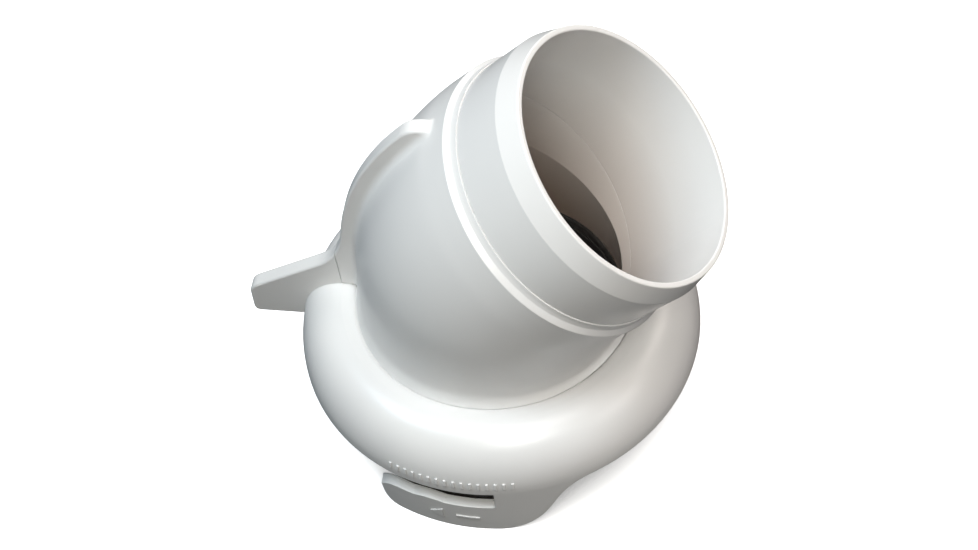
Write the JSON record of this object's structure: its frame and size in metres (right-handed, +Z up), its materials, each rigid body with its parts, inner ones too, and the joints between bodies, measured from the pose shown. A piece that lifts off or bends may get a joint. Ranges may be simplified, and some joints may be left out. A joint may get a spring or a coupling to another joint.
{
  "type": "flue elbow",
  "caption": "45 degree flue elbow with a domed twist-lock collar, a lever, a rib along the spine and a swivelling outlet spigot.",
  "frame": {"origin": "centre of the collar's bottom rim, on the axis of the inlet", "axes": "+Z up the inlet axis, +X towards the side the outlet leans to, so the outlet axis is halfway between +X and +Z; the lever points along -X"},
  "size_m": [0.1814, 0.1518, 0.1627],
  "materials": {
    "white_plastic": "satin white moulded plastic with soft reflections",
    "spigot_plastic": "satin white moulded plastic",
    "ring_plastic": "black acetal, matte",
    "seal_rubber": "black EPDM rubber, matte",
    "spring_steel": "stainless spring steel strip"
  },
  "bodies": {
    "elbow": {"elbow_body": "white_plastic", "collar_thrust_washer": "ring_plastic", "collar_retaining_ring": "spring_steel", "inlet_lip_seal": "seal_rubber", "seal_clamp_ring": "ring_plastic", "spigot_retaining_ring": "spring_steel"},
    "collar": {"bayonet_collar": "white_plastic"},
    "outlet": {"outlet_spigot": "spigot_plastic", "spigot_seal": "seal_rubber"}
  },
  "joints": [
    {"name": "collar_twist", "type": "hinge", "parent": "elbow", "child": "collar", "pos_m": [0, 0, 0], "axis": [0, 0, 1], "range_deg": [0, 40]},
    {"name": "outlet_swivel", "type": "hinge", "parent": "elbow", "child": "outlet", "pos_m": [0, 0, 0.052], "axis": [0.7071, 0, 0.7071], "continuous": true}
  ]
}
